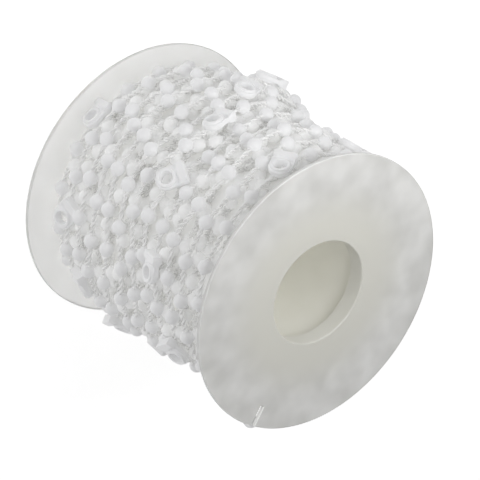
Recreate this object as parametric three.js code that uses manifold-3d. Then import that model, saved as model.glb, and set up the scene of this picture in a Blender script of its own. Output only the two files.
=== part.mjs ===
// A spool of blind chain: two thin flanges on a core tube, wound full with bead chain.
// The spool stands on one flange. Its axis is Z, and the origin is the middle of the lower face.
// Lengths are in millimetres, angles in degrees where a name says so.

import * as THREE from 'three';
import { mergeVertices } from 'three/addons/utils/BufferGeometryUtils.js';
import Module from 'manifold-3d';

const wasm = await Module();
wasm.setup();

// Spool
const flangeDiameter = 80;
const flangeThickness = 1.2;
const spoolWidth = 76.6;
const boreDiameter = 30;
const sleeveWall = 1.6;
const sleeveLength = 4;
const coreWall = 2.1;
const slitWidth = 1.2;
const slitDepth = 6;
const lowerSlitAngleDeg = 135;
const upperSlitAngleDeg = 56;

// Chain
const beadDiameter = 4;
const beadPitch = 11.2;
const cordDiameter = 1.5;
const stationsPerClip = 11;
const firstClipStation = 7;

// Clip
const clipLength = 9;
const clipWidth = 6.4;
const clipThickness = 2.6;
const clipCorner = 1.7;
const clipHoleDiameter = 3.6;
const clipHoleInset = 3.4;
const clipLift = 1.1;
const clipSwivelDeg = 34;
const clipSwivelStep = 2.3;
const clipLeanDeg = 16;
const clipLeanStep = 1.7;
const clipLeanStart = 1;

// Winding
const rimInset = 3.55;
const turnPitch = 5.5;
const valleyDepth = 2.1;
const wanderReach = 2;
const wanderWaves = 4.95;
const driftReach = 0.8;
const driftWaves = 2.93;
const lobeReach = 1.4;
const lobeAngleDeg = -135;
const windingEndAngleDeg = 48;
const looseEndAngleDeg = 59;
const looseEndInset = 0.4;

// Rise of the bead centres over fullRadius, from the lower flange (share 0) to the upper one (share 1)
const windingProfile = [
  { share: 0, rise: -3.4 },
  { share: 0.1, rise: -0.9 },
  { share: 0.3, rise: 0.7 },
  { share: 0.5, rise: -0.2 },
  { share: 0.66, rise: -0.9 },
  { share: 0.82, rise: -1.8 },
  { share: 1, rise: -5.0 },
];

// Heaps where turns cross on each other, and the groove between two of them
const mounds = [
  { angleDeg: -130, share: 0.33, rise: 2.2, spreadDeg: 26, width: 6 },
  { angleDeg: -70, share: 0.62, rise: -2.2, spreadDeg: 48, width: 3.2 },
  { angleDeg: -75, share: 0.74, rise: 1.0, spreadDeg: 45, width: 3.6 },
  { angleDeg: 25, share: 0.76, rise: 1.6, spreadDeg: 22, width: 6 },
  { angleDeg: 120, share: 0.45, rise: 0.9, spreadDeg: 40, width: 9 },
];

// Clearances and fineness
const fitClearance = 0.3;
const roundSegments = 36;
const coreSegments = 24;
const windingSegments = 30;
const domeSides = 6;
const domeSpread = 0.95;
const domeShoulder = 0.12;
const domeDrop = 0.7;
const domeRoomShare = 0.42;
const foldCost = 1000;
const spreadRounds = 6;

// Sizes that follow
const flangeRadius = flangeDiameter / 2;
const boreRadius = boreDiameter / 2;
const sleeveRadius = boreRadius + sleeveWall;
const coreInnerRadius = sleeveRadius + fitClearance;
const coreOuterRadius = coreInnerRadius + coreWall;
const coreBottom = flangeThickness + fitClearance;
const coreTop = spoolWidth - coreBottom;
const beadRadius = beadDiameter / 2;
const cordRadius = cordDiameter / 2;
const lowestStation = coreBottom + beadRadius;
const highestStation = coreTop - beadRadius;
const fullRadius = flangeRadius - rimInset;
const clipReach = Math.hypot(clipLength, clipWidth) / 2;
const clipLean = THREE.MathUtils.degToRad(clipLeanDeg);
const clipRoom = (clipWidth + clipThickness * Math.sin(clipLean)) / 2;
const turns = (highestStation - lowestStation) / turnPitch;
const fullTurn = 2 * Math.PI;
const endAngle = THREE.MathUtils.degToRad(windingEndAngleDeg);
const startAngle = endAngle - fullTurn * turns;

const plastic = {
  flange: new THREE.MeshStandardMaterial({ color: 0xdcdcd9, roughness: 0.45, metalness: 0 }),
  core: new THREE.MeshStandardMaterial({ color: 0xd2d0c8, roughness: 0.5, metalness: 0 }),
  chain: new THREE.MeshStandardMaterial({ color: 0xf2f2f2, roughness: 0.4, metalness: 0 }),
  clip: new THREE.MeshStandardMaterial({ color: 0xf5f5f5, roughness: 0.38, metalness: 0 }),
};

// Solids from closed geometries, and back

function toSolid(geometry) {
  const bare = geometry.clone();
  bare.deleteAttribute('normal');
  bare.deleteAttribute('uv');
  const merged = mergeVertices(bare, 1e-5);
  return new wasm.Manifold(new wasm.Mesh({
    numProp: 3,
    vertProperties: new Float32Array(merged.attributes.position.array),
    triVerts: new Uint32Array(merged.index.array),
  }));
}

function toGeometry(solid) {
  const mesh = solid.getMesh();
  const geometry = new THREE.BufferGeometry();
  geometry.setAttribute('position', new THREE.BufferAttribute(mesh.vertProperties, 3));
  geometry.setIndex(new THREE.BufferAttribute(mesh.triVerts, 1));
  geometry.computeVertexNormals();
  return geometry;
}

function named(name, geometry, material) {
  const mesh = new THREE.Mesh(geometry, material);
  mesh.name = name;
  return mesh;
}

// A ring turned about Z from corner points [radius, height] that run round its section
function turnedRing(corners, segments) {
  const profile = [...corners, corners[0]].map(([radius, height]) => new THREE.Vector2(radius, height));
  return new THREE.LatheGeometry(profile, segments).rotateX(Math.PI / 2);
}

// Spool pieces

// A flange stands on its outer face, with its sleeve upwards
function flangeGeometry(slitAngleDeg) {
  const ring = toSolid(turnedRing([
    [boreRadius, 0],
    [flangeRadius, 0],
    [flangeRadius, flangeThickness],
    [sleeveRadius, flangeThickness],
    [sleeveRadius, flangeThickness + sleeveLength],
    [boreRadius, flangeThickness + sleeveLength],
  ], roundSegments));
  const cutter = new THREE.BoxGeometry(2 * slitDepth, slitWidth, 4 * flangeThickness);
  cutter.translate(flangeRadius, 0, 0).rotateZ(THREE.MathUtils.degToRad(slitAngleDeg));
  return toGeometry(ring.subtract(toSolid(cutter)));
}

function bottomFlange() {
  return named('bottom_flange', flangeGeometry(lowerSlitAngleDeg), plastic.flange);
}

// The upper flange is the same piece turned over about X, which mirrors its slit's angle
function topFlange() {
  const mesh = named('top_flange', flangeGeometry(-upperSlitAngleDeg), plastic.flange);
  mesh.rotation.x = Math.PI;
  mesh.position.z = spoolWidth;
  return mesh;
}

function coreTube() {
  const geometry = turnedRing([
    [coreInnerRadius, coreBottom],
    [coreOuterRadius, coreBottom],
    [coreOuterRadius, coreTop],
    [coreInnerRadius, coreTop],
  ], coreSegments);
  return named('core_tube', toGeometry(toSolid(geometry)), plastic.core);
}

// Course of the outer turns

function alongProfile(share) {
  const held = THREE.MathUtils.clamp(share, 0, 1);
  const next = Math.max(1, windingProfile.findIndex((point) => point.share >= held));
  const low = windingProfile[next - 1];
  const high = windingProfile[next];
  const part = THREE.MathUtils.smoothstep(held, low.share, high.share);
  return THREE.MathUtils.lerp(low.rise, high.rise, part);
}

function angleBetween(first, second) {
  const turn = (first - second) / fullTurn;
  return (turn - Math.round(turn)) * fullTurn;
}

// Distance of a bead's centre from the axis
function windingRadius(angle, height) {
  const span = highestStation - lowestStation;
  const share = (height - lowestStation) / span;
  const lobe = lobeReach * Math.cos(angle - THREE.MathUtils.degToRad(lobeAngleDeg));
  let radius = fullRadius + alongProfile(share) + lobe;
  for (const mound of mounds) {
    const aside = angleBetween(angle, THREE.MathUtils.degToRad(mound.angleDeg));
    const along = aside / THREE.MathUtils.degToRad(mound.spreadDeg);
    const across = (share - mound.share) * span / mound.width;
    radius += mound.rise * Math.exp(-along * along - across * across);
  }
  return radius;
}

// Height of the outer turns at an angle counted on from startAngle; it wanders least at the flanges
function turnHeight(angle) {
  const passed = angle - startAngle;
  const share = passed / (fullTurn * turns);
  const freedom = Math.sin(Math.PI * THREE.MathUtils.clamp(share, 0, 1));
  const wander = wanderReach * Math.sin(wanderWaves * passed) + driftReach * Math.sin(driftWaves * passed);
  return lowestStation + turnPitch * passed / fullTurn + freedom * wander;
}

function stationPoint(station) {
  const { angle, radius, height } = station;
  return new THREE.Vector3(radius * Math.cos(angle), radius * Math.sin(angle), height);
}

// Least distance between two stations' centres; two clips clear each other at any swivel
function roomBetween(first, second) {
  return first.isClip && second.isClip ? 2 * clipReach + beadRadius : first.room + second.room;
}

function makeStation(angle, isClip) {
  const room = isClip ? clipRoom : beadRadius;
  const height = THREE.MathUtils.clamp(turnHeight(angle), coreBottom + room, coreTop - room);
  return { angle, height, radius: windingRadius(angle, height), isClip, room };
}

// One station for each bead or clip, a pitch apart along the cord. A clip that would meet an earlier
// one moves on to the next station, and the loose end starts at a bead.
function layStations() {
  const stations = [];
  const clips = [];
  let nextClip = firstClipStation;
  let angle = startAngle;
  while (angle <= endAngle) {
    let station = makeStation(angle, stations.length >= nextClip);
    const meets = (clip) => stationPoint(clip).distanceTo(stationPoint(station)) < roomBetween(clip, station);
    const isLast = angle + beadPitch / station.radius > endAngle;
    if (station.isClip && (isLast || clips.some(meets))) {
      station = makeStation(angle, false);
    }
    if (station.isClip) {
      clips.push(station);
      nextClip = stations.length + stationsPerClip;
    }
    stations.push(station);
    angle += beadPitch / station.radius;
  }
  return stations;
}

// Stations of neighbouring turns push each other apart along the axis until they have room
function spreadStations(stations) {
  for (let round = 0; round < spreadRounds; round += 1) {
    for (let i = 0; i < stations.length; i += 1) {
      for (let j = i + 2; j < stations.length; j += 1) {
        const low = stations[i];
        const high = stations[j];
        const missing = roomBetween(low, high) - stationPoint(low).distanceTo(stationPoint(high));
        if (missing > 0) {
          low.height = Math.max(coreBottom + low.room, low.height - missing / 2);
          high.height = Math.min(coreTop - high.room, high.height + missing / 2);
        }
      }
    }
  }
  return stations;
}

// Directions at a station: along the cord, towards the upper flange, and away from the axis
function stationFrame(station, lift) {
  const outward = new THREE.Vector3(Math.cos(station.angle), Math.sin(station.angle), 0);
  const upward = new THREE.Vector3(0, 0, 1);
  const along = new THREE.Vector3().crossVectors(upward, outward);
  const place = stationPoint(station).addScaledVector(outward, lift);
  return new THREE.Matrix4().makeBasis(along, upward, outward).setPosition(place);
}

// Wound chain

// Points and faces of a closed body in the making
class Skin {
  constructor() {
    this.points = [];
    this.faces = [];
  }

  addPoint(angle, radius, height) {
    this.points.push(radius * Math.cos(angle), radius * Math.sin(angle), height);
    return this.points.length / 3 - 1;
  }

  quad(a, b, c, d) {
    this.faces.push(a, b, c, a, c, d);
  }

  // Fills the strip between two lines of { turn, height, point }, from the lower one to the upper one.
  // Of all ways to fill it, this takes the one with the fewest faces turned inwards, then the
  // shortest edges.
  strip(lower, upper) {
    const across = (a, b) => Math.hypot((a.turn - b.turn) * fullRadius, a.height - b.height);
    const fold = (a, b, c) => {
      const out = (b.turn - a.turn) * (c.height - a.height) - (c.turn - a.turn) * (b.height - a.height);
      return out > 0 ? 0 : foldCost;
    };
    const at = (i, j) => i * upper.length + j;
    const cost = new Float64Array(lower.length * upper.length).fill(Infinity);
    const cameByLower = new Uint8Array(cost.length);
    cost[0] = 0;
    for (let i = 0; i < lower.length; i += 1) {
      for (let j = i === 0 ? 1 : 0; j < upper.length; j += 1) {
        const way = across(lower[i], upper[j]);
        const byLower = i > 0 ? cost[at(i - 1, j)] + fold(lower[i - 1], lower[i], upper[j]) : Infinity;
        const byUpper = j > 0 ? cost[at(i, j - 1)] + fold(lower[i], upper[j], upper[j - 1]) : Infinity;
        cost[at(i, j)] = way + Math.min(byLower, byUpper);
        cameByLower[at(i, j)] = byLower < byUpper ? 1 : 0;
      }
    }
    let i = lower.length - 1;
    let j = upper.length - 1;
    while (i > 0 || j > 0) {
      if (j === 0 || cameByLower[at(i, j)]) {
        this.faces.push(lower[i - 1].point, lower[i].point, upper[j].point);
        i -= 1;
      } else {
        this.faces.push(lower[i].point, upper[j].point, upper[j - 1].point);
        j -= 1;
      }
    }
  }

  solid() {
    const geometry = new THREE.BufferGeometry();
    geometry.setAttribute('position', new THREE.Float32BufferAttribute(this.points, 3));
    geometry.setIndex(this.faces);
    return toSolid(geometry);
  }
}

// The stations with two plain turns before and after them, which the flanges' faces cut off
function fullCourse(stations) {
  const plain = (angle) => {
    const height = turnHeight(angle);
    return { angle, height, radius: windingRadius(angle, height), isPlain: true };
  };
  const step = fullTurn / windingSegments;
  const before = [];
  const after = [];
  for (let i = 2 * windingSegments; i > 0; i -= 1) {
    before.push(plain(startAngle - i * step));
    after.push(plain(endAngle + (2 * windingSegments + 1 - i) * step));
  }
  return [...before, ...stations, ...after];
}

// The course at any angle, between its two nearest stations
function courseAt(course, angle) {
  const next = course.findIndex((each) => each.angle > angle);
  if (next <= 0) {
    return next === 0 ? course[0] : course[course.length - 1];
  }
  const low = course[next - 1];
  const high = course[next];
  const part = (angle - low.angle) / (high.angle - low.angle);
  return {
    angle,
    height: THREE.MathUtils.lerp(low.height, high.height, part),
    radius: THREE.MathUtils.lerp(low.radius, high.radius, part),
  };
}

// A bead's outer half is a six-sided dome on the ridge. Returns the ring of its foot, from the side
// where the cord comes in, round by the lower flange's side.
function addDome(skin, station, room) {
  const spread = beadRadius * domeSpread;
  const ring = [];
  for (let k = 0; k < domeSides; k += 1) {
    const turn = Math.PI + fullTurn * k / domeSides;
    const along = Math.cos(turn) * spread / station.radius;
    const across = Math.sin(turn) * Math.min(spread, room);
    ring.push({ angle: station.angle + along, height: station.height + across, isOnRidge: k % (domeSides / 2) === 0 });
  }
  const foot = ring.map((each) => {
    const rise = each.isOnRidge ? cordRadius : -domeDrop;
    return skin.addPoint(each.angle, station.radius + rise, each.height);
  });
  const shoulderRadius = station.radius + THREE.MathUtils.lerp(cordRadius, beadRadius, domeShoulder);
  const shoulder = ring.map((each) => skin.addPoint(each.angle, shoulderRadius, each.height));
  const top = skin.addPoint(station.angle, station.radius + beadRadius, station.height);
  for (let k = 0; k < domeSides; k += 1) {
    const next = (k + 1) % domeSides;
    skin.quad(foot[k], foot[next], shoulder[next], shoulder[k]);
    skin.faces.push(shoulder[k], shoulder[next], top);
  }
  return ring.map(({ angle, height }, k) => ({ turn: angle, height, point: foot[k] }));
}

// All turns as one body: the outer turns are a spiral ridge with domes, and a spiral valley beside it
function turnsSolid(stations) {
  const skin = new Skin();
  const count = windingSegments;
  const step = fullTurn / count;
  const course = fullCourse(stations);
  const firstAngle = course[0].angle;
  const lastAngle = course[course.length - 1].angle;

  // Lower and upper side of the ridge, each a line of points along the whole course
  const lowerSide = [];
  const upperSide = [];
  const addRidge = ({ angle, radius, height }) => {
    const point = { turn: angle, height, point: skin.addPoint(angle, radius + cordRadius, height) };
    lowerSide.push(point);
    upperSide.push(point);
  };
  course.forEach((station, index) => {
    if (station.isPlain || station.isClip) {
      addRidge(station);
    } else {
      const above = courseAt(course, station.angle + fullTurn).height - station.height;
      const below = station.height - courseAt(course, station.angle - fullTurn).height;
      const foot = addDome(skin, station, domeRoomShare * Math.min(above, below));
      lowerSide.push(foot[0], foot[1], foot[2], foot[3]);
      upperSide.push(foot[0], foot[5], foot[4], foot[3]);
    }
    const next = course[index + 1];
    if (next && !station.isPlain && !next.isPlain) {
      addRidge(courseAt(course, (station.angle + next.angle) / 2));
    }
  });

  const valley = [];
  const valleySteps = Math.round((lastAngle - fullTurn - firstAngle) / step);
  for (let i = 0; i <= valleySteps; i += 1) {
    const angle = firstAngle + (lastAngle - fullTurn - firstAngle) * i / valleySteps;
    const below = courseAt(course, angle);
    const above = courseAt(course, angle + fullTurn);
    const radius = Math.min(below.radius, above.radius) - valleyDepth;
    const height = (below.height + above.height) / 2;
    valley.push({ turn: angle, height, point: skin.addPoint(angle, radius, height) });
  }

  const early = (line) => line.slice(0, line.length - count);
  const late = (line) => line.slice(count).map((each) => ({ ...each, turn: each.turn - fullTurn }));
  skin.strip(early(upperSide), valley);
  skin.strip(valley, late(lowerSide));

  // Rings that close the body beyond both flanges' faces
  const ring = (line, radius, height) => line.map(({ turn }) => skin.addPoint(turn, radius, height));
  const firstTurn = lowerSide.slice(0, count + 1);
  const lastTurn = lowerSide.slice(-count - 1);
  const base = course[0].height - turnPitch;
  const head = course[course.length - 1].height + turnPitch;
  const closeTurn = (points) => [...points, points[0]];
  const baseOuter = closeTurn(ring(firstTurn.slice(0, count), coreOuterRadius + beadRadius, base));
  const baseInner = closeTurn(ring(firstTurn.slice(0, count), coreInnerRadius, base));
  const headOuter = closeTurn(ring(lastTurn.slice(0, count), coreOuterRadius + beadRadius, head));
  const headInner = closeTurn(ring(lastTurn.slice(0, count), coreInnerRadius, head));
  for (let j = 0; j < count; j += 1) {
    skin.quad(baseOuter[j], baseOuter[j + 1], firstTurn[j + 1].point, firstTurn[j].point);
    skin.quad(lastTurn[j].point, lastTurn[j + 1].point, headOuter[j + 1], headOuter[j]);
    skin.quad(baseInner[j], baseInner[j + 1], baseOuter[j + 1], baseOuter[j]);
    skin.quad(headOuter[j], headOuter[j + 1], headInner[j + 1], headInner[j]);
  }
  skin.quad(baseOuter[0], firstTurn[0].point, valley[0].point, firstTurn[count].point);
  const end = valley[valley.length - 1].point;
  skin.quad(headOuter[0], lastTurn[count].point, end, lastTurn[0].point);

  // The inner wall turns by less than one step from the lower ring to the upper one
  const offset = Math.round((lastTurn[0].turn - firstAngle) / step) % count;
  for (let j = 0; j < count; j += 1) {
    const low = (j + offset) % count;
    skin.quad(headInner[j], headInner[j + 1], baseInner[low + 1], baseInner[low]);
  }

  const reach = 2 * flangeRadius + fullRadius;
  const room = turnedRing([
    [coreOuterRadius + fitClearance, coreBottom],
    [reach, coreBottom],
    [reach, coreTop],
    [coreOuterRadius + fitClearance, coreTop],
  ], coreSegments);
  return skin.solid().intersect(toSolid(room));
}

// The loose end comes off the last turn and lies behind the upper flange, with a bead at the rim
function looseEndSolid(lastStation) {
  const rimStation = {
    angle: THREE.MathUtils.degToRad(looseEndAngleDeg),
    height: highestStation,
    radius: flangeRadius - looseEndInset,
  };
  const section = [];
  const sides = 6;
  for (let k = 0; k < sides; k += 1) {
    const turn = fullTurn * k / sides;
    section.push(new THREE.Vector2(Math.cos(turn), Math.sin(turn)).multiplyScalar(cordRadius));
  }
  const cord = new THREE.ExtrudeGeometry(new THREE.Shape(section), {
    steps: 1,
    extrudePath: new THREE.LineCurve3(stationPoint(lastStation), stationPoint(rimStation)),
  });
  const bead = new THREE.IcosahedronGeometry(beadRadius, 0).applyMatrix4(stationFrame(rimStation, 0));
  return toSolid(cord).add(toSolid(bead));
}

// Clips

// Outline of a clip's plate, grown all round by a clearance, with its corners cut at the eyelet's end
function clipOutline(grow) {
  const x = clipLength / 2 + grow;
  const y = clipWidth / 2 + grow;
  return [[-x, -y], [x - clipCorner, -y], [x, clipCorner - y], [x, y - clipCorner], [x - clipCorner, y], [-x, y]]
    .map(([px, py]) => new THREE.Vector2(px, py));
}

function clipPlate() {
  const shape = new THREE.Shape(clipOutline(0));
  const hole = [];
  const sides = 8;
  for (let k = 0; k < sides; k += 1) {
    const turn = fullTurn * (k + 0.5) / sides;
    hole.push(new THREE.Vector2(Math.cos(turn), Math.sin(turn)).multiplyScalar(clipHoleDiameter / 2)
      .add(new THREE.Vector2(clipLength / 2 - clipHoleInset, 0)));
  }
  shape.holes.push(new THREE.Path(hole));
  return new THREE.ExtrudeGeometry(shape, { depth: clipThickness, bevelEnabled: false, steps: 1 })
    .translate(0, 0, -clipThickness / 2);
}

// Pocket that a clip lies in: its plate with clearance, open away from the axis
function clipPocket() {
  const below = clipThickness / 2 + fitClearance;
  return new THREE.ExtrudeGeometry(new THREE.Shape(clipOutline(fitClearance)), {
    depth: below + beadDiameter + clipThickness,
    bevelEnabled: false,
    steps: 1,
  }).translate(0, 0, -below);
}

// Each clip lies at its own angle on the turns, and swivels only as far as the flanges leave it room
function clipFrame(station, index) {
  const spare = Math.min(station.height - coreBottom, coreTop - station.height) - clipRoom;
  const most = Math.asin(THREE.MathUtils.clamp(2 * spare / clipLength, 0, 1));
  const wanted = THREE.MathUtils.degToRad(clipSwivelDeg) * Math.sin(clipSwivelStep * index);
  const swivel = THREE.MathUtils.clamp(wanted, -most, most);
  const lean = clipLean * Math.sin(clipLeanStep * index + clipLeanStart);
  return stationFrame(station, clipLift)
    .multiply(new THREE.Matrix4().makeRotationX(lean))
    .multiply(new THREE.Matrix4().makeRotationZ(swivel));
}

function woundChain(stations, clipFrames) {
  const lastStation = stations[stations.length - 1];
  let solid = turnsSolid(stations).add(looseEndSolid(lastStation));
  for (const frame of clipFrames) {
    solid = solid.subtract(toSolid(clipPocket().applyMatrix4(frame)));
  }
  return named('wound_chain', toGeometry(solid), plastic.chain);
}

function chainClip(frame, index) {
  const number = String(index + 1).padStart(2, '0');
  const mesh = named(`chain_clip_${number}`, toGeometry(toSolid(clipPlate())), plastic.clip);
  mesh.applyMatrix4(frame);
  return mesh;
}

const stations = spreadStations(layStations());
const clipFrames = stations.filter((station) => station.isClip).map(clipFrame);

const spool = new THREE.Group();
spool.add(bottomFlange(), topFlange(), coreTube(), woundChain(stations, clipFrames));
spool.add(...clipFrames.map(chainClip));

export default spool;
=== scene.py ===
import math
import bpy
import numpy as np
from mathutils import Matrix, Quaternion, Vector


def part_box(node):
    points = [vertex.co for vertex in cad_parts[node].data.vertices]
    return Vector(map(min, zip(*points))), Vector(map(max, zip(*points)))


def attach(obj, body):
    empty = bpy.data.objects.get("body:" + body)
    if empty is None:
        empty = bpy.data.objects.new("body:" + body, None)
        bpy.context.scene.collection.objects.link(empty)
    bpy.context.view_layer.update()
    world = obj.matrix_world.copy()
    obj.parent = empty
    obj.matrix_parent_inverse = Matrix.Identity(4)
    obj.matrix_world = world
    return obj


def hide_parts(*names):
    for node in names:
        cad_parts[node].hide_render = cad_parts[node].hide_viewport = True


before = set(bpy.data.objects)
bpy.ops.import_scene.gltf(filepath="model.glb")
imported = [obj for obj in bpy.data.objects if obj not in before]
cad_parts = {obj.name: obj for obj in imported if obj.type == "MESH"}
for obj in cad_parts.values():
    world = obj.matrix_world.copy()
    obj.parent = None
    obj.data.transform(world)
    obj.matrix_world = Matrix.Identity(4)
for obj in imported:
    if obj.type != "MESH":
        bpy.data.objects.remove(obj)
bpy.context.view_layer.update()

# A spool of white blind chain: beads and eyelet clips moulded onto a twisted cord, wound between two
# frosted flanges. Lengths are in millimetres and angles in degrees where a name says so. MM turns
# millimetres into the scene's metres.

MM = 0.001
TAU = 2 * math.pi


def box_mm(node):
    """Lowest and highest corner of a node of the frame, in millimetres."""
    low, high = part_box(node)
    return np.array(low) / MM, np.array(high) / MM


# Spool, measured from the frame
_, bottom_high = box_mm("bottom_flange")
_, top_high = box_mm("top_flange")
core_low, core_high = box_mm("core_tube")
FLANGE_RADIUS = bottom_high[0]
SPOOL_WIDTH = top_high[2]
CORE_BOTTOM = core_low[2]
CORE_TOP = core_high[2]
CORE_OUTER_RADIUS = core_high[0]

# Spool, as built
SLEEVE_LENGTH = 4.0
FLANGE_THICKNESS = bottom_high[2] - SLEEVE_LENGTH
BORE_RADIUS = 15.0
SLEEVE_WALL = 1.6
CORE_WALL = 2.1
SLIT_WIDTH = 1.2
SLIT_DEPTH = 6.0
LOWER_SLIT_ANGLE_DEG = 135
UPPER_SLIT_ANGLE_DEG = 56
RIM_ROUNDING = 0.35
ROUNDING_STEPS = 3
FLANGE_SEGMENTS = 240
CORE_SEGMENTS = 160
SHARP_DEG = 35

# Chain
BEAD_RADIUS = 2.0
BEAD_PITCH = 11.2
CORD_RADIUS = 0.75
STATIONS_PER_CLIP = 11
FIRST_CLIP_STATION = 7

# Winding
RIM_INSET = 3.55
TURN_PITCH = 5.5
WANDER_REACH = 2
WANDER_WAVES = 4.95
DRIFT_REACH = 0.8
DRIFT_WAVES = 2.93
LOBE_REACH = 1.4
LOBE_ANGLE_DEG = -135
WINDING_END_ANGLE_DEG = 48
LOOSE_END_ANGLE_DEG = 59
LOOSE_END_INSET = 0.4
SPREAD_ROUNDS = 6
CORD_TAUTNESS = 0.45

# Rise of the bead centres over FULL_RADIUS as (share of the width, rise)
WINDING_PROFILE = [
    (0, -3.4),
    (0.1, -0.9),
    (0.3, 0.7),
    (0.5, -0.2),
    (0.66, -0.9),
    (0.82, -1.8),
    (1, -5.0),
]

# Heaps and a groove on the winding as
# (angle in degrees, share of the width, rise, spread in degrees, width)
MOUNDS = [
    (-130, 0.33, 2.2, 26, 6),
    (-70, 0.62, -2.2, 48, 3.2),
    (-75, 0.74, 1.0, 45, 3.6),
    (25, 0.76, 1.6, 22, 6),
    (120, 0.45, 0.9, 40, 9),
]

# Clip
CLIP_LENGTH = 9.0
CLIP_WIDTH = 6.4
CLIP_THICKNESS = 2.6
CLIP_PLATE_THICKNESS = 1.4
CLIP_HOLE_RADIUS = 1.8
CLIP_HOLE_INSET = 3.4
CLIP_LIP_WIDTH = 0.75
CLIP_BLOCK_LENGTH = 2.3
CLIP_STEP_WIDTH = 0.3
CLIP_BLOCK_STEP_WIDTH = 0.4
CLIP_CORNER_ROUNDING = 0.55
CLIP_EDGE_ROUNDING = 0.28
CLIP_SPOKES = 64
CLIP_RINGS = 18
CLIP_LIFT = 1.1
CLIP_SWIVEL_DEG = 34
CLIP_SWIVEL_STEP = 2.3
CLIP_LEAN_DEG = 16
CLIP_LEAN_STEP = 1.7
CLIP_LEAN_START = 1

# Sizes that follow
FULL_RADIUS = FLANGE_RADIUS - RIM_INSET
LOWEST_STATION = CORE_BOTTOM + BEAD_RADIUS
HIGHEST_STATION = CORE_TOP - BEAD_RADIUS
STATION_SPAN = HIGHEST_STATION - LOWEST_STATION
CLIP_LEAN = math.radians(CLIP_LEAN_DEG)
CLIP_ROOM = (CLIP_WIDTH + CLIP_THICKNESS * math.sin(CLIP_LEAN)) / 2
TURNS = STATION_SPAN / TURN_PITCH
END_ANGLE = math.radians(WINDING_END_ANGLE_DEG)
START_ANGLE = END_ANGLE - TAU * TURNS
CLIP_EYE = CLIP_LENGTH / 2 - CLIP_HOLE_INSET

# Layers of turns under the outer one, which is layer 0
LAYER_DEPTHS = (0, 1.2, 2.2, 3.1, 3.9)
LAYER_PHASES_DEG = (0, 97, 211, 23, 151)
LAYER_LOOSENESS = (0.4, 0.8, 1.0, 1.0, 1.0)
LOOSE_SEED = 11
DEEPEST_SETTLING = 1.3
FLANGE_CLEARANCE = 0.12
END_RING_DEPTHS = (4.3, 8.5, 12.7)
END_RING_CLEARANCE = 0.1

# Plain body of the deeper turns
BODY_DEPTH = 4.4
BODY_LEVELS = 40
BODY_SPOKES = 90
BODY_LEAST_WALL = 0.4
BODY_END_WALL = 0.2

# Fine forms of beads and cord
TWIST_PITCH = 3.9
TWIST_WANDER = 1.1
TWIST_WANDER_LENGTH = 19.0
STRAND_OFFSET = 0.37
STRAND_RADIUS = 0.42
COLLAR_RADIUS = 0.8
COLLAR_REACH = 2.1
COLLAR_END_SHARE = 0.9
COLLAR_MOUTH_SHARE = 0.6

# Fineness of a strand as (sides, step along the cord), and of a bead as (sides, rings)
FINE_STRAND = (8, 0.62)
DEEP_STRAND = (5, 0.95)
END_STRAND = (6, 0.9)
FINE_BEAD = (18, 9)
DEEP_BEAD = (12, 7)
END_BEAD = (14, 8)

# Painted light: a faint emission glow, and its colours, on the cords, the deep turns, the tube and the slits,
# standing in for the light that reaches them through the milky plastic
PAINTED_GLOW_COLOUR = (1, 1, 0.95, 1)
CORD_PAINTED_GLOW = 0.055
DEEP_PAINTED_GLOW = 0.045
TUBE_PAINTED_GLOW_COLOUR = (1, 0.985, 0.88, 1)
TUBE_PAINTED_GLOW = 0.055
SLIT_PAINTED_GLOW = 0.045
WARM_RING_WIDTH = 14.0

# Grain of the materials: colours, noise scales to the metre, and depths in metres
WHITE_PLASTIC = (0.95, 0.95, 0.95)
ROUGHNESS_SPREAD = 0.16
DARK_WARMTH = 0.004
CLOUD_SCALE = 165
GRAIN_SCALE = 420
SKIN_DEPTH = 0.0001
FIBRE_SCALE = (0.35, 26, 1)
FIBRE_DEPTH = 0.00012

# Light, in which the white pieces pass it on many times
LIGHT_BOUNCES = 24
SKY_BRIGHT_SIDE = (0.9, -0.15, -0.3)
SKY_DIM = 0.478
SKY_BRIGHT = 0.6
SKY_SEEN = 1.0
FLOOR_SIZE = 6000
FLOOR_COLOUR = (0.8, 0.8, 0.8, 1)
FLOOR_GLOW = 0.3
FLOOR_GLOW_SEEN = 0.62

# Camera
CAMERA_AZIMUTH_DEG = 45.03
CAMERA_ELEVATION_DEG = 41.97
CAMERA_ROLL_DEG = 123.37
CAMERA_DISTANCE = 1190
CAMERA_AIM = (-4.04, 3.73, 38.07)
CAMERA_LENS = 329.6
CAMERA_SENSOR = 36


# Course of the turns

def smoothstep(value, low, high):
    part = min(max((value - low) / (high - low), 0), 1)
    return part * part * (3 - 2 * part)


def profile_rise(share):
    held = min(max(share, 0), 1)
    for (low_share, low_rise), (high_share, high_rise) in zip(WINDING_PROFILE, WINDING_PROFILE[1:]):
        if held <= high_share:
            return low_rise + (high_rise - low_rise) * smoothstep(held, low_share, high_share)
    return WINDING_PROFILE[-1][1]


def angle_between(first, second):
    turn = (first - second) / TAU
    return (turn - round(turn)) * TAU


def held_height(height, room):
    """A height between the flanges at which a bead or clip has room, just off the plastic."""
    spare = room + FLANGE_CLEARANCE
    return min(max(height, CORE_BOTTOM + spare), CORE_TOP - spare)


def winding_radius(angle, height):
    """Distance of an outer bead's centre from the axis."""
    share = (height - LOWEST_STATION) / STATION_SPAN
    radius = FULL_RADIUS + profile_rise(share)
    radius += LOBE_REACH * math.cos(angle - math.radians(LOBE_ANGLE_DEG))
    for angle_deg, mound_share, rise, spread_deg, width in MOUNDS:
        along = angle_between(angle, math.radians(angle_deg)) / math.radians(spread_deg)
        across = (share - mound_share) * STATION_SPAN / width
        radius += rise * math.exp(-along * along - across * across)
    return radius


def turn_height(angle):
    """Height of the turns at an angle counted on from START_ANGLE."""
    passed = angle - START_ANGLE
    freedom = math.sin(math.pi * min(max(passed / (TAU * TURNS), 0), 1))
    wander = WANDER_REACH * math.sin(WANDER_WAVES * passed) + DRIFT_REACH * math.sin(DRIFT_WAVES * passed)
    return LOWEST_STATION + TURN_PITCH * passed / TAU + freedom * wander


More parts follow.
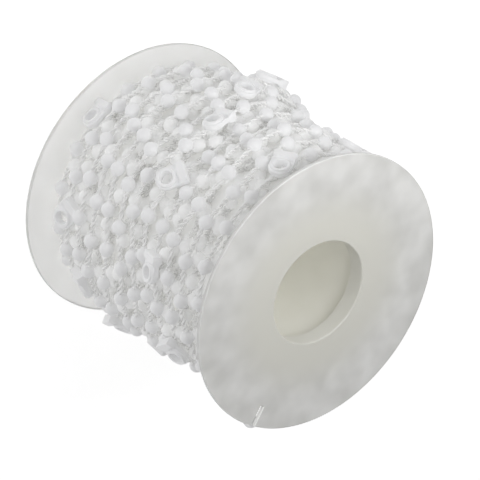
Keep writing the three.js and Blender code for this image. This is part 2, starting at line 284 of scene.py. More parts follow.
class Station:
    """The place of one bead or clip on the cord."""

    def __init__(self, angle, height, radius, is_clip=False):
        self.angle = angle
        self.height = height
        self.radius = radius
        self.is_clip = is_clip
        self.room = CLIP_ROOM if is_clip else BEAD_RADIUS

    @property
    def point(self):
        return np.array([self.radius * math.cos(self.angle), self.radius * math.sin(self.angle), self.height])


def lay_stations(layer):
    """Stations of a layer, 0 being the outer one. Every second pair of layers climbs the other way."""
    stations = []
    phase = math.radians(LAYER_PHASES_DEG[layer])
    angle = START_ANGLE
    while angle <= END_ANGLE:
        is_clip = layer == 0 and len(stations) % STATIONS_PER_CLIP == FIRST_CLIP_STATION
        room = CLIP_ROOM if is_clip else BEAD_RADIUS
        shift = TURN_PITCH / 2 if layer % 2 else 0
        height = turn_height(angle) + shift
        if layer > 1:
            height = CORE_BOTTOM + CORE_TOP - height
        height = held_height(height, room)
        place = phase + (angle if layer < 2 else -angle)
        radius = winding_radius(place, height) - LAYER_DEPTHS[layer]
        stations.append(Station(place, height, radius, is_clip))
        angle += BEAD_PITCH / radius
    return stations


def loosen(stations, looseness, seed):
    """Shifts the beads a little from their even places, each way by chance."""
    chance = np.random.default_rng(seed)
    for station in stations:
        along, across, deeper = chance.normal(size=3) * looseness
        if not station.is_clip:
            station.angle += along / station.radius
            station.height = held_height(station.height + across, station.room)
            station.radius -= abs(deeper) / 2
    return stations


def settle(stations, outer):
    """Beads of a layer sink between those of the layer outside it, as far as the deeper turns let them."""
    for station in stations:
        deepest = station.radius - DEEPEST_SETTLING
        for other in outer:
            if abs(other.height - station.height) < BEAD_RADIUS + other.room:
                missing = BEAD_RADIUS + other.room - math.dist(station.point, other.point)
                if missing > 0:
                    station.radius = max(deepest, station.radius - missing)
    return stations


def spread_stations(stations):
    """Stations of neighbouring turns push each other apart along the axis until they have room."""
    for _ in range(SPREAD_ROUNDS):
        for i, low in enumerate(stations):
            for high in stations[i + 2:]:
                if abs(high.height - low.height) > 2 * CLIP_ROOM:
                    continue
                missing = low.room + high.room - math.dist(low.point, high.point)
                if missing > 0:
                    low.height = held_height(low.height - missing / 2, low.room)
                    high.height = held_height(high.height + missing / 2, high.room)
    return stations


def end_ring(height, depth, phase):
    """One level turn beside a flange."""
    inner = CORE_OUTER_RADIUS + BEAD_RADIUS + END_RING_CLEARANCE
    radius = max(inner, winding_radius(0, height) - LOBE_REACH - depth)
    count = int(TAU * radius / BEAD_PITCH)
    held = held_height(height, BEAD_RADIUS)
    return [Station(phase + TAU * k / count, held, radius) for k in range(count + 1)]


def basis_at(station, lift=0.0):
    """Matrix at a station: X along the cord, Y towards the upper flange, Z away from the axis."""
    outward = Vector((math.cos(station.angle), math.sin(station.angle), 0))
    upward = Vector((0, 0, 1))
    along = upward.cross(outward)
    place = Vector(station.point) + outward * lift
    matrix = Matrix((along, upward, outward)).transposed().to_4x4()
    matrix.translation = place
    return matrix


# Meshes

def make_object(name, points, faces, material, smooth_deg=40, uvs=None):
    """A piece from points in millimetres, riding on the spool."""
    mesh = bpy.data.meshes.new(name)
    mesh.from_pydata([tuple(p) for p in np.asarray(points) * MM], [], faces)
    mesh.validate()
    if uvs is not None:
        layer = mesh.uv_layers.new(name="along")
        loops = np.zeros(len(mesh.loops), dtype=np.int32)
        mesh.loops.foreach_get("vertex_index", loops)
        layer.data.foreach_set("uv", np.asarray(uvs)[loops].ravel())
    mesh.polygons.foreach_set("use_smooth", [True] * len(mesh.polygons))
    mesh.set_sharp_from_angle(angle=math.radians(smooth_deg))
    mesh.materials.append(material)
    piece = bpy.data.objects.new(name, mesh)
    bpy.context.scene.collection.objects.link(piece)
    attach(piece, "root")
    return piece


def tube_faces(rings, sides, first=0):
    """Quads of a tube of rings with capped ends, from point number first."""
    faces = []
    for i in range(rings - 1):
        for k in range(sides):
            nxt = (k + 1) % sides
            a = first + i * sides
            b = a + sides
            faces.append((a + k, a + nxt, b + nxt, b + k))
    faces.append(tuple(first + k for k in reversed(range(sides))))
    last = first + (rings - 1) * sides
    faces.append(tuple(last + k for k in range(sides)))
    return faces


def resample(points, step):
    """Points an even step apart along a line of points."""
    lengths = np.linalg.norm(np.diff(points, axis=0), axis=1)
    passed = np.concatenate([[0], np.cumsum(lengths)])
    count = max(4, int(passed[-1] / step))
    at = np.linspace(0, passed[-1], count)
    return at, np.stack([np.interp(at, passed, points[:, i]) for i in range(3)], axis=1)


def cord_line(stations, parts=10):
    """Fine line of the cord through its stations, between a smooth curve and straight stretches."""
    knots = np.array([s.point for s in stations])
    padded = np.concatenate([[2 * knots[0] - knots[1]], knots, [2 * knots[-1] - knots[-2]]])
    line = []
    for i in range(len(knots) - 1):
        before, start, end, after = padded[i:i + 4]
        for k in range(parts):
            t = k / parts
            curve = 0.5 * (
                2 * start
                + (end - before) * t
                + (2 * before - 5 * start + 4 * end - after) * t ** 2
                + (3 * start - before - 3 * end + after) * t ** 3
            )
            chord = start + (end - start) * t
            line.append(curve + (chord - curve) * CORD_TAUTNESS)
    line.append(knots[-1])
    return np.array(line)


def twisted_cord(name, lines, material, fineness=FINE_STRAND):
    """Two strands twisted round each other along each line of points, all as one piece."""
    sides, step = fineness
    points = []
    faces = []
    uvs = []
    for line in lines:
        passed, centres = resample(line, step)
        tangents = np.gradient(centres, axis=0)
        tangents /= np.linalg.norm(tangents, axis=1, keepdims=True)
        outward = centres * [1, 1, 0]
        outward /= np.linalg.norm(outward, axis=1, keepdims=True)
        across = np.cross(tangents, outward)
        across /= np.linalg.norm(across, axis=1, keepdims=True)
        normal = np.cross(across, tangents)
        wander = TWIST_WANDER * np.sin(TAU * passed / TWIST_WANDER_LENGTH)
        twist = TAU * passed / TWIST_PITCH + wander
        for start in (0, math.pi):
            turn = (twist + start)[:, None]
            middle = centres + STRAND_OFFSET * (np.cos(turn) * normal + np.sin(turn) * across)
            first = sum(len(p) for p in points)
            ring = []
            for k in range(sides):
                around = turn + TAU * k / sides
                ring.append(middle + STRAND_RADIUS * (np.cos(around) * normal + np.sin(around) * across))
            points.append(np.stack(ring, axis=1).reshape(-1, 3))
            along = np.repeat(passed, sides)
            side = np.tile(np.arange(sides) / sides, len(passed))
            uvs.append(np.stack([along, side], axis=1))
            faces += tube_faces(len(passed), sides, first)
    return make_object(name, np.concatenate(points), faces, material, 60, np.concatenate(uvs))


def bead_profile(rings):
    """(place along the cord, radius) of a bead with a short collar at each end."""
    mouth = CORD_RADIUS * COLLAR_MOUTH_SHARE
    end = COLLAR_RADIUS * COLLAR_END_SHARE
    profile = [(-COLLAR_REACH, mouth), (-COLLAR_REACH, end)]
    start = math.asin(COLLAR_RADIUS / BEAD_RADIUS)
    for k in range(rings):
        turn = start + (math.pi - 2 * start) * k / (rings - 1)
        profile.append((-BEAD_RADIUS * math.cos(turn), BEAD_RADIUS * math.sin(turn)))
    profile += [(COLLAR_REACH, end), (COLLAR_REACH, mouth)]
    return profile


def beads(name, runs, material, fineness=FINE_BEAD):
    """Beads at the stations of each run that hold no clip, all as one piece."""
    sides, rings = fineness
    points = []
    faces = []
    profile = bead_profile(rings)
    for stations in runs:
        knots = [s.point for s in stations]
        for i, station in enumerate(stations):
            if station.is_clip:
                continue
            ahead = knots[min(i + 1, len(knots) - 1)]
            behind = knots[max(i - 1, 0)]
            along = (ahead - behind) / np.linalg.norm(ahead - behind)
            outward = np.array([math.cos(station.angle), math.sin(station.angle), 0])
            across = np.cross(along, outward)
            across /= np.linalg.norm(across)
            normal = np.cross(across, along)
            first = len(points)
            for place, radius in profile:
                for k in range(sides):
                    turn = TAU * k / sides
                    spoke = math.cos(turn) * normal + math.sin(turn) * across
                    points.append(station.point + along * place + spoke * radius)
            faces += tube_faces(len(profile), sides, first)
    return make_object(name, points, faces, material, 50)


def turned(name, corners, segments, material):
    """A closed outline of (radius, height) corners turned about the axis."""
    points = []
    faces = []
    count = len(corners)
    for i in range(segments):
        turn = TAU * i / segments
        points += [(radius * math.cos(turn), radius * math.sin(turn), height) for radius, height in corners]
    for i in range(segments):
        a = i * count
        b = ((i + 1) % segments) * count
        for k in range(count):
            nxt = (k + 1) % count
            faces.append((a + k, b + k, b + nxt, a + nxt))
    return make_object(name, points, faces, material, SHARP_DEG)


def round_edges(piece, width, segments):
    """Rounds a piece's sharp edges, and keeps its flat faces flat."""
    bevel = piece.modifiers.new("rounding", "BEVEL")
    bevel.width = width * MM
    bevel.segments = segments
    bevel.limit_method = "ANGLE"
    bevel.angle_limit = math.radians(SHARP_DEG)
    bevel.harden_normals = True
    return piece


# Materials

def node(tree, kind, **values):
    made = tree.nodes.new(kind)
    for name, value in values.items():
        if hasattr(made, name):
            setattr(made, name, value)
        else:
            made.inputs[name.replace("_", " ")].default_value = value
    return made


def plastic(name, colour, roughness, **shader_values):
    """Plain plastic. Returns the material, its tree, its shader and the texture coordinates."""
    material = bpy.data.materials.new(name)
    material.use_nodes = True
    tree = material.node_tree
    tree.nodes.clear()
    shader = node(tree, "ShaderNodeBsdfPrincipled")
    shader.inputs["Base Color"].default_value = (*colour, 1)
    shader.inputs["Roughness"].default_value = roughness
    shader.inputs["Subsurface Radius"].default_value = (1, 1, 1)
    for key, value in shader_values.items():
        shader.inputs[key.replace("_", " ")].default_value = value
    output = node(tree, "ShaderNodeOutputMaterial")
    tree.links.new(shader.outputs[0], output.inputs[0])
    coordinates = node(tree, "ShaderNodeTexCoord")
    return material, tree, shader, coordinates


def add_bump(tree, shader, height, strength, distance):
    bump = node(tree, "ShaderNodeBump", Strength=strength, Distance=distance)
    tree.links.new(height, bump.inputs["Height"])
    tree.links.new(bump.outputs[0], shader.inputs["Normal"])


def add_noise(tree, vector, scale, detail=3.0, roughness=0.5):
    noise = node(tree, "ShaderNodeTexNoise", Scale=scale, Detail=detail, Roughness=roughness)
    tree.links.new(vector, noise.inputs["Vector"])
    return noise.outputs["Fac"]


def add_ramp(tree, factor, low, high, low_at=0.3, high_at=0.7):
    ramp = node(tree, "ShaderNodeValToRGB")
    ramp.color_ramp.elements[0].position = low_at
    ramp.color_ramp.elements[0].color = low
    ramp.color_ramp.elements[1].position = high_at
    ramp.color_ramp.elements[1].color = high
    tree.links.new(factor, ramp.inputs[0])
    return ramp.outputs[0]


def add_range(tree, factor, low, high):
    mapped = node(tree, "ShaderNodeMapRange")
    mapped.inputs["To Min"].default_value = low
    mapped.inputs["To Max"].default_value = high
    tree.links.new(factor, mapped.inputs[0])
    return mapped.outputs[0]


def grey(value, warmth=0.0):
    """A grey as the shader takes it, with less blue the warmer it is and more where warmth is negative."""
    return (value, value - 0.1 * warmth, value - warmth, 1)


def moulded(name, warmth, roughness, spread_scale, skin_scale, skin_strength, glow=0.0):
    """White plastic whose tint and gloss vary a little, with a fine skin and a painted glow of strength glow.
    Roughness is a lowest value.
    """
    material, tree, shader, coordinates = plastic(
        name, WHITE_PLASTIC, roughness, Emission_Color=PAINTED_GLOW_COLOUR, Emission_Strength=glow)
    spread = add_noise(tree, coordinates.outputs["Object"], spread_scale)
    tint = add_ramp(tree, spread, grey(0.955, warmth), grey(0.975, warmth))
    tree.links.new(tint, shader.inputs["Base Color"])
    gloss = add_range(tree, spread, roughness, roughness + ROUGHNESS_SPREAD)
    tree.links.new(gloss, shader.inputs["Roughness"])
    skin = add_noise(tree, coordinates.outputs["Object"], skin_scale, detail=2.0)
    add_bump(tree, shader, skin, skin_strength, SKIN_DEPTH)
    return material


def cord_fibre(name, warmth, glow):
    """White fibre with fine streaks that run along the strands, and a painted glow of strength glow."""
    material, tree, shader, coordinates = plastic(
        name, WHITE_PLASTIC, 0.4, Sheen_Weight=0.1, Sheen_Roughness=0.4,
        Emission_Color=PAINTED_GLOW_COLOUR, Emission_Strength=glow)
    mapping = node(tree, "ShaderNodeMapping")
    mapping.inputs["Scale"].default_value = FIBRE_SCALE
    tree.links.new(coordinates.outputs["UV"], mapping.inputs["Vector"])
    fibres = add_noise(tree, mapping.outputs[0], 1.0, detail=4.0, roughness=0.6)
    tint = add_ramp(tree, fibres, grey(0.96, warmth + DARK_WARMTH), grey(0.99, warmth))
    tree.links.new(tint, shader.inputs["Base Color"])
    tree.links.new(add_range(tree, fibres, 0.32, 0.5), shader.inputs["Roughness"])
    add_bump(tree, shader, fibres, 0.5, FIBRE_DEPTH)
    return material


def warm_near_bore(tree, coordinates, tint, warm):
    """Passes over from a tint to a warm colour towards the tube, by the distance from the axis."""
    flat = node(tree, "ShaderNodeVectorMath", operation="MULTIPLY")
    flat.inputs[1].default_value = (1, 1, 0)
    tree.links.new(coordinates.outputs["Object"], flat.inputs[0])
    away = node(tree, "ShaderNodeVectorMath", operation="LENGTH")
    tree.links.new(flat.outputs[0], away.inputs[0])
    near_bore = node(tree, "ShaderNodeMapRange", interpolation_type="SMOOTHSTEP")
    near_bore.inputs["From Min"].default_value = (CORE_OUTER_RADIUS + WARM_RING_WIDTH) * MM
    near_bore.inputs["From Max"].default_value = CORE_OUTER_RADIUS * MM
    tree.links.new(away.outputs["Value"], near_bore.inputs["Value"])
    warmed = node(tree, "ShaderNodeMix", data_type="RGBA")
    tree.links.new(near_bore.outputs[0], warmed.inputs["Factor"])
    tree.links.new(tint, warmed.inputs["A"])
    warmed.inputs["B"].default_value = warm
    return warmed.outputs["Result"]


def frosted(name, tone, transmission, warmth, mottle, glow=0.0, light=PAINTED_GLOW_COLOUR, ring_warmth=0.0):
    """Milky see-through plastic, clouded by mottle, warmer round the bore with a ring_warmth, and with a
    painted glow of strength glow in the colour light.
    """
    material, tree, shader, coordinates = plastic(
        name, (tone, tone, tone), 0.5, Transmission_Weight=transmission, IOR=1.3,
        Subsurface_Weight=0.5, Subsurface_Scale=0.001, Emission_Color=light, Emission_Strength=glow)
    cloud = add_noise(tree, coordinates.outputs["Object"], CLOUD_SCALE, detail=1.5, roughness=0.4)
    tint = add_ramp(tree, cloud, grey(tone - mottle, warmth + DARK_WARMTH), grey(tone + mottle, warmth))
    if ring_warmth:
        tint = warm_near_bore(tree, coordinates, tint, grey(tone, ring_warmth))
    tree.links.new(tint, shader.inputs["Base Color"])
    tree.links.new(add_range(tree, cloud, 0.31, 0.37), shader.inputs["Roughness"])
    grain = add_noise(tree, coordinates.outputs["Object"], GRAIN_SCALE, detail=1.0)
    add_bump(tree, shader, grain, 0.1, SKIN_DEPTH)
    return material


BEAD_PLASTIC = moulded(
    "bead_plastic", warmth=-0.008, roughness=0.36, spread_scale=160, skin_scale=1400, skin_strength=0.15)
# Painted light: the outer cord glows faintly, so that it reads brighter than its shading lets it
CORD_FIBRE = cord_fibre("cord_fibre", warmth=0, glow=CORD_PAINTED_GLOW)
# Painted light: the deep turns are copies of the outer bead and cord plastics with a faint painted glow, and
# warmer, for the warm light between the turns
DEEP_BEADS = moulded(
    "deep_bead_plastic", warmth=0, roughness=0.36, spread_scale=160, skin_scale=1400, skin_strength=0.15,
    glow=DEEP_PAINTED_GLOW)
DEEP_CORD = cord_fibre("deep_cord_fibre", warmth=0.006, glow=DEEP_PAINTED_GLOW)
CLIP_PLASTIC = moulded(
    "clip_plastic", warmth=-0.008, roughness=0.32, spread_scale=210, skin_scale=1100, skin_strength=0.2)
# Painted light and shade: the two flanges are one plastic, the lower painted in a lighter tone and the upper
# in a darker one for how differently they are lit
LOWER_PLASTIC = frosted(
    "lower_flange_plastic", tone=0.778, transmission=0.5, warmth=0.006, mottle=0.008)
# The upper flange's strong mottle is painted light and shade: blotches of light and shade from the turns
# behind the disc
UPPER_PLASTIC = frosted(
    "upper_flange_plastic", tone=0.636, transmission=0.29, warmth=0.014, mottle=0.055, ring_warmth=0.05)
# Painted light: the tube has a faint painted glow and a warm tint for the light that reaches the bore through
# the winding
CORE_PLASTIC = frosted(
    "core_plastic", tone=0.79, transmission=0.1, warmth=0.04, mottle=0.01, glow=TUBE_PAINTED_GLOW, light=TUBE_PAINTED_GLOW_COLOUR)
# Painted light: the sleeves, rims and slits are painted lighter than the upper disc, the sleeves warmer and
# the slits with a painted glow, for the light in the bore and the light the edges gather from the disc
SLEEVE_PLASTIC = frosted("sleeve_plastic", tone=0.74, transmission=0.1, warmth=0.04, mottle=0.01)
RIM_PLASTIC = frosted("rim_plastic", tone=0.74, transmission=0.1, warmth=0.01, mottle=0.01)
SLIT_PLASTIC = frosted("slit_plastic", tone=0.85, transmission=0.1, warmth=0.01, mottle=0.01, glow=SLIT_PAINTED_GLOW)


# Spool

def flange(name, slit_angle_deg, outer_face, inwards, material):
    """A thin disc with a bore, a sleeve on its inner face and a slit at its rim."""
    sleeve_radius = BORE_RADIUS + SLEEVE_WALL
    slit_end = FLANGE_RADIUS - SLIT_DEPTH
    inner_face = outer_face + inwards * FLANGE_THICKNESS
    sleeve_end = inner_face + inwards * SLEEVE_LENGTH
    corners = [
        (slit_end, outer_face),
        (FLANGE_RADIUS, outer_face),
        (FLANGE_RADIUS, inner_face),
        (slit_end, inner_face),
        (sleeve_radius, inner_face),
        (sleeve_radius, sleeve_end),
        (BORE_RADIUS, sleeve_end),
        (BORE_RADIUS, outer_face),
    ]
    rim_corners = 4
    count = len(corners)
    slit_half = math.asin(SLIT_WIDTH / 2 / (FLANGE_RADIUS - SLIT_DEPTH / 2))
    slit_angle = math.radians(slit_angle_deg)
    points = []
    faces = []
    for i in range(FLANGE_SEGMENTS + 1):
        turn = slit_angle + slit_half + (TAU - 2 * slit_half) * i / FLANGE_SEGMENTS
        points += [(radius * math.cos(turn), radius * math.sin(turn), height) for radius, height in corners]
    last = FLANGE_SEGMENTS * count
    for i in range(FLANGE_SEGMENTS):
        a = i * count
        b = a + count
        for k in range(count):
            nxt = (k + 1) % count
            faces.append((a + k, b + k, b + nxt, a + nxt))
    # Inside the slit's end the disc goes on, and its rim stops at the slit's two sides
    for k in range(rim_corners - 1, count):
        nxt = (k + 1) % count
        faces.append((last + k, k, nxt, last + nxt))
    faces.append((last, 0, rim_corners - 1, last + rim_corners - 1))
    faces.append(tuple(range(rim_corners)))
    faces.append(tuple(last + k for k in reversed(range(rim_corners))))
    if inwards < 0:
        faces = [tuple(reversed(face)) for face in faces]
    piece = make_object(name, points, faces, material, SHARP_DEG)
    # Painted light: the sleeve is painted warmer and lighter beside the tube, and the rim and the slit
    # lighter, the slit with a painted glow, for the light they gather from the whole disc
    sleeve, rim, slit = 1, 2, 3
    slit_faces = 3
    for plastic_there in (SLEEVE_PLASTIC, RIM_PLASTIC, SLIT_PLASTIC):
        piece.data.materials.append(plastic_there)
    for face in piece.data.polygons:
        away = math.hypot(face.center.x, face.center.y) / MM
        if away < sleeve_radius + RIM_ROUNDING:
            face.material_index = sleeve
        elif away > FLANGE_RADIUS - RIM_ROUNDING:
            face.material_index = rim
    for face in piece.data.polygons[-slit_faces:]:
        face.material_index = slit
    return round_edges(piece, RIM_ROUNDING, ROUNDING_STEPS)


def core():
    inner = CORE_OUTER_RADIUS - CORE_WALL
    corners = [
        (inner, CORE_BOTTOM),
        (CORE_OUTER_RADIUS, CORE_BOTTOM),
        (CORE_OUTER_RADIUS, CORE_TOP),
        (inner, CORE_TOP),
    ]
    piece = turned("core_tube_wall", corners, CORE_SEGMENTS, CORE_PLASTIC)
    return round_edges(piece, RIM_ROUNDING, ROUNDING_STEPS)


bottom = flange("flange_lower", LOWER_SLIT_ANGLE_DEG, 0, 1, LOWER_PLASTIC)
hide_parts("bottom_flange")
top = flange("flange_upper", UPPER_SLIT_ANGLE_DEG, SPOOL_WIDTH, -1, UPPER_PLASTIC)
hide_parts("top_flange")
tube = core()
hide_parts("core_tube")


# Winding

def packed_turns():
    """Plain body of the deep turns, which nothing shows but its height between the outer turns."""
    low = LOWEST_STATION - BEAD_RADIUS / 2
    high = HIGHEST_STATION + BEAD_RADIUS / 2
    points = []
    for i in range(BODY_LEVELS):
        height = low + (high - low) * i / (BODY_LEVELS - 1)
        for k in range(BODY_SPOKES):
            angle = TAU * k / BODY_SPOKES
            radius = max(CORE_OUTER_RADIUS + BODY_LEAST_WALL, winding_radius(angle, height) - BODY_DEPTH)
            points.append((radius * math.cos(angle), radius * math.sin(angle), height))
    inner = CORE_OUTER_RADIUS + BODY_END_WALL
    for height in (high, low):
        for k in range(BODY_SPOKES):
            angle = TAU * k / BODY_SPOKES
            points.append((inner * math.cos(angle), inner * math.sin(angle), height))
    rows = BODY_LEVELS + 2
    faces = []
    for i in range(rows):
        a = i * BODY_SPOKES
        b = ((i + 1) % rows) * BODY_SPOKES
        for k in range(BODY_SPOKES):
            nxt = (k + 1) % BODY_SPOKES
            faces.append((a + k, a + nxt, b + nxt, b + k))
    return make_object("packed_turns", points, faces, DEEP_CORD, 60)


outer_stations = spread_stations(loosen(lay_stations(0), LAYER_LOOSENESS[0], LOOSE_SEED))
outer_line = cord_line(outer_stations)
outer_cord = twisted_cord("outer_cord", [outer_line], CORD_FIBRE)
outer_beads = beads("outer_beads", [outer_stations], BEAD_PLASTIC)
winding_pieces = [outer_cord, outer_beads, packed_turns()]
outside = outer_stations
for layer in range(1, len(LAYER_DEPTHS)):
    loose_stations = loosen(lay_stations(layer), LAYER_LOOSENESS[layer], LOOSE_SEED + layer)
    layer_stations = settle(loose_stations, outside)
    cord = twisted_cord(f"layer_{layer}_cord", [cord_line(layer_stations)], DEEP_CORD, DEEP_STRAND)
    layer_beads = beads(f"layer_{layer}_beads", [layer_stations], DEEP_BEADS, DEEP_BEAD)
    winding_pieces += [cord, layer_beads]
    outside = layer_stations

# Level turns beside each flange, every one turned on from the last
end_runs = []
for number, height in enumerate((LOWEST_STATION, HIGHEST_STATION)):
    for depth in END_RING_DEPTHS:
        end_runs.append(end_ring(height, depth, number + depth))
end_lines = [cord_line(run) for run in end_runs]
winding_pieces.append(twisted_cord("end_cord", end_lines, CORD_FIBRE, END_STRAND))
winding_pieces.append(beads("end_beads", end_runs, BEAD_PLASTIC, END_BEAD))


def loose_end():
    """The end of the chain, which lies behind the upper flange with a bead at the rim."""
    last = outer_stations[-1]
    rim = Station(math.radians(LOOSE_END_ANGLE_DEG), HIGHEST_STATION, FLANGE_RADIUS - LOOSE_END_INSET)
    line = cord_line([last, rim])
    return [
        twisted_cord("loose_end_cord", [line], CORD_FIBRE),
        beads("loose_end_bead", [[last, rim]], BEAD_PLASTIC),
    ]


winding_pieces += loose_end()

for piece in winding_pieces:
    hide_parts("wound_chain")


# Clips

def outline_reach(angle):
    """Distance from the middle of a clip's hole to its outline, in a direction, found by halving."""
    halvings = 24
    start = np.array([CLIP_EYE, 0.0])
    way = np.array([math.cos(angle), math.sin(angle)])
    low, high = 0.0, CLIP_LENGTH
    for _ in range(halvings):
        middle = (low + high) / 2
        if outline_distance(start + way * middle) < 0:
            low = middle
        else:
            high = middle
    return low


def outline_distance(place):
    """Signed distance from the outline of a clip's plate, negative inside."""
    x, y = place[0], abs(place[1])
    round_end = math.hypot(max(x - CLIP_EYE, 0), y) - CLIP_WIDTH / 2
    square_end = -x - CLIP_LENGTH / 2
    past_end = max(square_end + CLIP_CORNER_ROUNDING, 0)
    past_side = max(y - CLIP_WIDTH / 2 + CLIP_CORNER_ROUNDING, 0)
    corner = math.hypot(past_end, past_side) - CLIP_CORNER_ROUNDING
    return max(round_end, square_end, corner)


def clip_half_height(x, y):
    """Half the thickness of a clip: a block round the cord, a thin plate, and a lip round the hole."""
    plate = CLIP_PLATE_THICKNESS / 2
    full = CLIP_THICKNESS / 2
    lip_edge = CLIP_HOLE_RADIUS + CLIP_LIP_WIDTH
    lip = 1 - smoothstep(math.hypot(x - CLIP_EYE, y), lip_edge, lip_edge + CLIP_STEP_WIDTH)
    block_edge = CLIP_BLOCK_LENGTH - CLIP_LENGTH / 2
    block = 1 - smoothstep(x, block_edge, block_edge + CLIP_BLOCK_STEP_WIDTH)
    return plate + (full - plate) * max(lip, block)


def edge_drop(inset):
    """How far a clip's rounded edge lies below its face, at an inset from the edge."""
    if inset >= CLIP_EDGE_ROUNDING:
        return 0.0
    return CLIP_EDGE_ROUNDING - math.sqrt(max(CLIP_EDGE_ROUNDING ** 2 - (CLIP_EDGE_ROUNDING - inset) ** 2, 0))


def clip_mesh():
    """Points and faces of one clip about the origin, as spokes of rings round its hole."""
    points = []
    hole = np.array([CLIP_EYE, 0.0])
    for k in range(CLIP_SPOKES):
        angle = TAU * k / CLIP_SPOKES
        way = np.array([math.cos(angle), math.sin(angle)])
        reach = outline_reach(angle)
        upper = []
        for i in range(CLIP_RINGS + 1):
            away = CLIP_HOLE_RADIUS + (reach - CLIP_HOLE_RADIUS) * i / CLIP_RINGS
            x, y = hole + way * away
            inset = min(away - CLIP_HOLE_RADIUS, reach - away)
            upper.append((x, y, clip_half_height(x, y) - edge_drop(inset)))
        lower = [(x, y, -half) for x, y, half in reversed(upper)]
        points += upper + lower
    count = 2 * (CLIP_RINGS + 1)
    faces = []
    for k in range(CLIP_SPOKES):
        a = k * count
        b = ((k + 1) % CLIP_SPOKES) * count
        for i in range(count):
            nxt = (i + 1) % count
            faces.append((a + i, b + i, b + nxt, a + nxt))
    return np.array(points), faces


def clip_matrix(station, index):
    """Place of a clip, which swivels only as far as the flanges leave it room."""
    spare = min(station.height - CORE_BOTTOM, CORE_TOP - station.height) - CLIP_ROOM
    most = math.asin(min(max(2 * spare / CLIP_LENGTH, 0), 1))
    swivel = math.radians(CLIP_SWIVEL_DEG) * math.sin(CLIP_SWIVEL_STEP * index)
    swivel = min(max(swivel, -most), most)
    lean = CLIP_LEAN * math.sin(CLIP_LEAN_STEP * index + CLIP_LEAN_START)
    return basis_at(station, CLIP_LIFT) @ Matrix.Rotation(lean, 4, "X") @ Matrix.Rotation(swivel, 4, "Z")


clip_points, clip_faces = clip_mesh()
clip_stations = [station for station in outer_stations if station.is_clip]
for index, station in enumerate(clip_stations):
    matrix = np.array(clip_matrix(station, index))
    placed = clip_points @ matrix[:3, :3].T + matrix[:3, 3]
    clip = make_object(f"clip_{index + 1:02d}", placed, clip_faces, CLIP_PLASTIC, SHARP_DEG)
    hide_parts(f"chain_clip_{index + 1:02d}")


# Floor, light and camera

def seen_or_plain(tree):
    """1 for what is seen straight, mirrored or through plastic, and 0 for light on the object."""
    path = node(tree, "ShaderNodeLightPath")
    seen = node(tree, "ShaderNodeMath", operation="MAXIMUM")
    tree.links.new(path.outputs["Is Camera Ray"], seen.inputs[0])
    tree.links.new(path.outputs["Is Glossy Ray"], seen.inputs[1])
    seen_through = node(tree, "ShaderNodeMath", operation="MAXIMUM")
    tree.links.new(seen.outputs[0], seen_through.inputs[0])
    tree.links.new(path.outputs["Is Transmission Ray"], seen_through.inputs[1])
    return seen_through.outputs[0]


def floor():
    """A pale floor that is seen as white, with the spool's soft shadow on it."""
    mesh = bpy.data.meshes.new("floor")
    half = FLOOR_SIZE / 2 * MM
    corners = [(-half, -half, 0), (half, -half, 0), (half, half, 0), (-half, half, 0)]
    mesh.from_pydata(corners, [], [(0, 1, 2, 3)])
    ground = bpy.data.objects.new("floor", mesh)
    bpy.context.scene.collection.objects.link(ground)
    material = bpy.data.materials.new("floor_white")
    material.use_nodes = True
    tree = material.node_tree
    tree.nodes.clear()
    diffuse = node(tree, "ShaderNodeBsdfDiffuse")
    diffuse.inputs["Color"].default_value = FLOOR_COLOUR
    glow = node(tree, "ShaderNodeEmission")
    strength = add_range(tree, seen_or_plain(tree), FLOOR_GLOW, FLOOR_GLOW_SEEN)
    tree.links.new(strength, glow.inputs["Strength"])
    both = node(tree, "ShaderNodeAddShader")
    tree.links.new(diffuse.outputs[0], both.inputs[0])
    tree.links.new(glow.outputs[0], both.inputs[1])
    output = node(tree, "ShaderNodeOutputMaterial")
    tree.links.new(both.outputs[0], output.inputs[0])
    ground.data.materials.append(material)


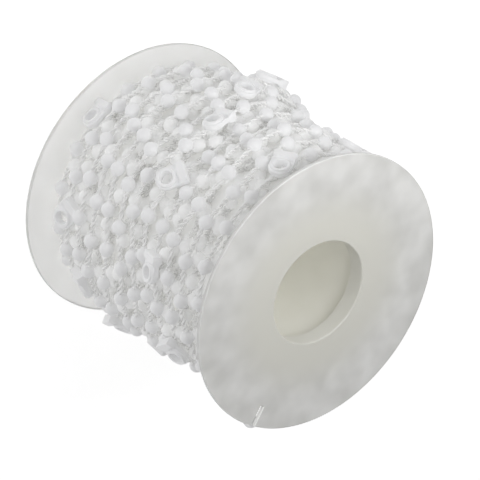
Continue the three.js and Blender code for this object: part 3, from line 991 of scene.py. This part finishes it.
def sky():
    """A soft world that is brighter on one side, seen as plain white."""
    world = bpy.data.worlds.new("sky")
    bpy.context.scene.world = world
    world.use_nodes = True
    tree = world.node_tree
    tree.nodes.clear()
    coordinates = node(tree, "ShaderNodeTexCoord")
    towards = node(tree, "ShaderNodeVectorMath", operation="DOT_PRODUCT")
    towards.inputs[1].default_value = Vector(SKY_BRIGHT_SIDE).normalized()
    tree.links.new(coordinates.outputs["Generated"], towards.inputs[0])
    lit = node(tree, "ShaderNodeMapRange")
    lit.inputs["From Min"].default_value = -1
    lit.inputs["To Min"].default_value = SKY_DIM
    lit.inputs["To Max"].default_value = SKY_BRIGHT
    tree.links.new(towards.outputs["Value"], lit.inputs[0])
    strength = node(tree, "ShaderNodeMix", data_type="FLOAT")
    tree.links.new(seen_or_plain(tree), strength.inputs["Factor"])
    tree.links.new(lit.outputs[0], strength.inputs["A"])
    strength.inputs["B"].default_value = SKY_SEEN
    background = node(tree, "ShaderNodeBackground")
    tree.links.new(strength.outputs[0], background.inputs["Strength"])
    output = node(tree, "ShaderNodeOutputWorld")
    tree.links.new(background.outputs[0], output.inputs[0])


def soft_lamp(name, direction, distance, size, power):
    """A square soft lamp that looks at the middle of the spool from a direction."""
    data = bpy.data.lights.new(name, "AREA")
    data.size = size * MM
    data.energy = power
    lamp = bpy.data.objects.new(name, data)
    lamp.visible_camera = False
    bpy.context.scene.collection.objects.link(lamp)
    away = Vector(direction).normalized()
    middle = Vector((0, 0, SPOOL_WIDTH / 2)) * MM
    lamp.location = middle + away * distance * MM
    lamp.rotation_euler = (-away).to_track_quat("-Z", "Y").to_euler()


def camera():
    """The camera looks down at the winding and the upper flange, rolled onto its side."""
    azimuth = math.radians(CAMERA_AZIMUTH_DEG)
    elevation = math.radians(CAMERA_ELEVATION_DEG)
    roll = math.radians(CAMERA_ROLL_DEG)
    level = math.cos(elevation)
    back = Vector((math.sin(azimuth) * level, -math.cos(azimuth) * level, math.sin(elevation)))
    data = bpy.data.cameras.new("camera")
    data.lens = CAMERA_LENS
    data.sensor_width = CAMERA_SENSOR
    made = bpy.data.objects.new("camera", data)
    bpy.context.scene.collection.objects.link(made)
    made.location = (Vector(CAMERA_AIM) + back * CAMERA_DISTANCE) * MM
    made.rotation_mode = "QUATERNION"
    made.rotation_quaternion = (-back).to_track_quat("-Z", "Y") @ Quaternion((0, 0, 1), roll)
    bpy.context.scene.camera = made


floor()
sky()
soft_lamp("key", direction=(-0.05, -0.35, 1.0), distance=150, size=100, power=0.135)
soft_lamp("side", direction=(0.8, -0.5, 0.22), distance=500, size=300, power=0.2)
camera()
bpy.context.scene.view_settings.view_transform = "Standard"
bpy.context.scene.cycles.diffuse_bounces = LIGHT_BOUNCES
bpy.context.scene.cycles.transmission_bounces = LIGHT_BOUNCES
bpy.context.scene.cycles.max_bounces = LIGHT_BOUNCES
